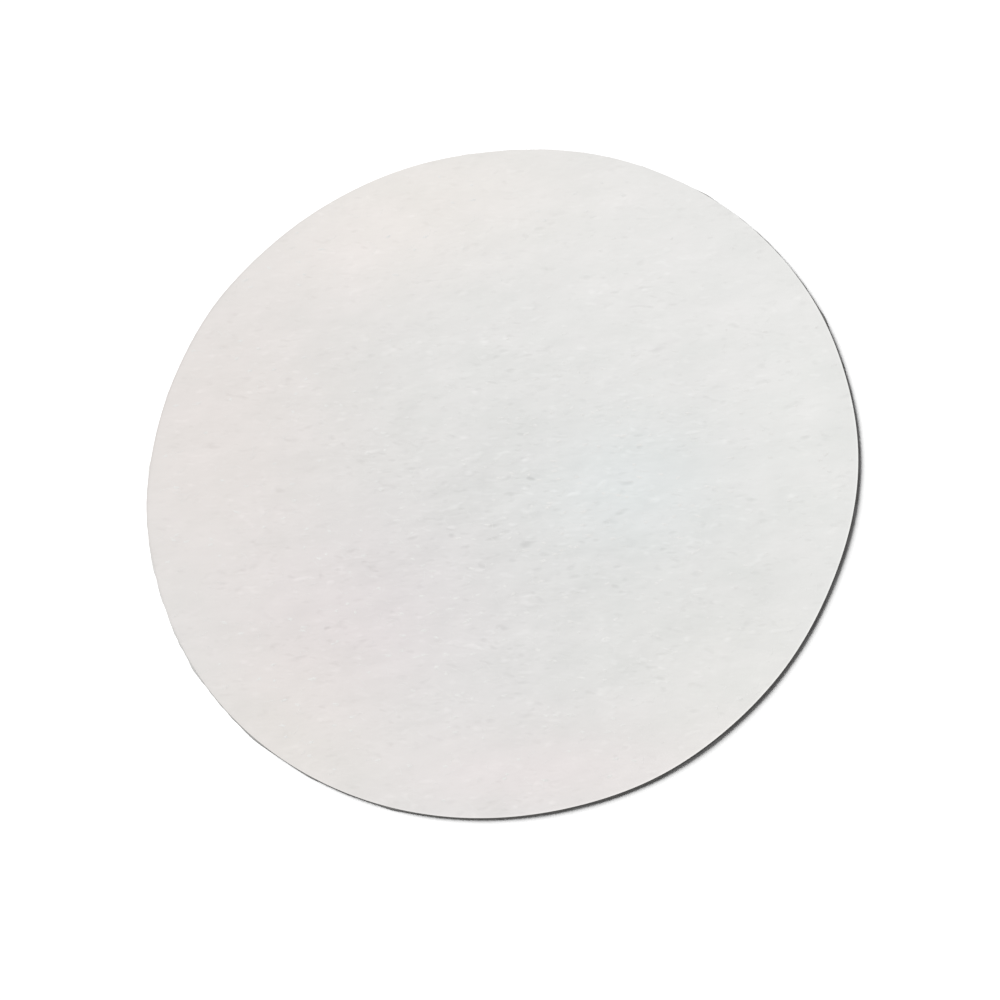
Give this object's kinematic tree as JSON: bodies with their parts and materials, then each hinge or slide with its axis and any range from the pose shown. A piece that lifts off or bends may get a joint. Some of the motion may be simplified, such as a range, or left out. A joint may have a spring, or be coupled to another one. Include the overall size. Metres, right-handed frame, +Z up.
{
  "type": "filter paper disc",
  "caption": "Thin flat round of white filter paper, die cut, that lies on the plate of a laboratory funnel to hold back solids.",
  "frame": {"origin": "centre of the underside, the wire face that the disc lies on", "axes": "+Z up through the thickness, along the disc's axis; +X along the grain of the sheet"},
  "size_m": [0.09, 0.09, 0.0004],
  "materials": {
    "filter_paper": "matte"
  },
  "bodies": {
    "root": {"paper_disc": "filter_paper"}
  },
  "joints": []
}
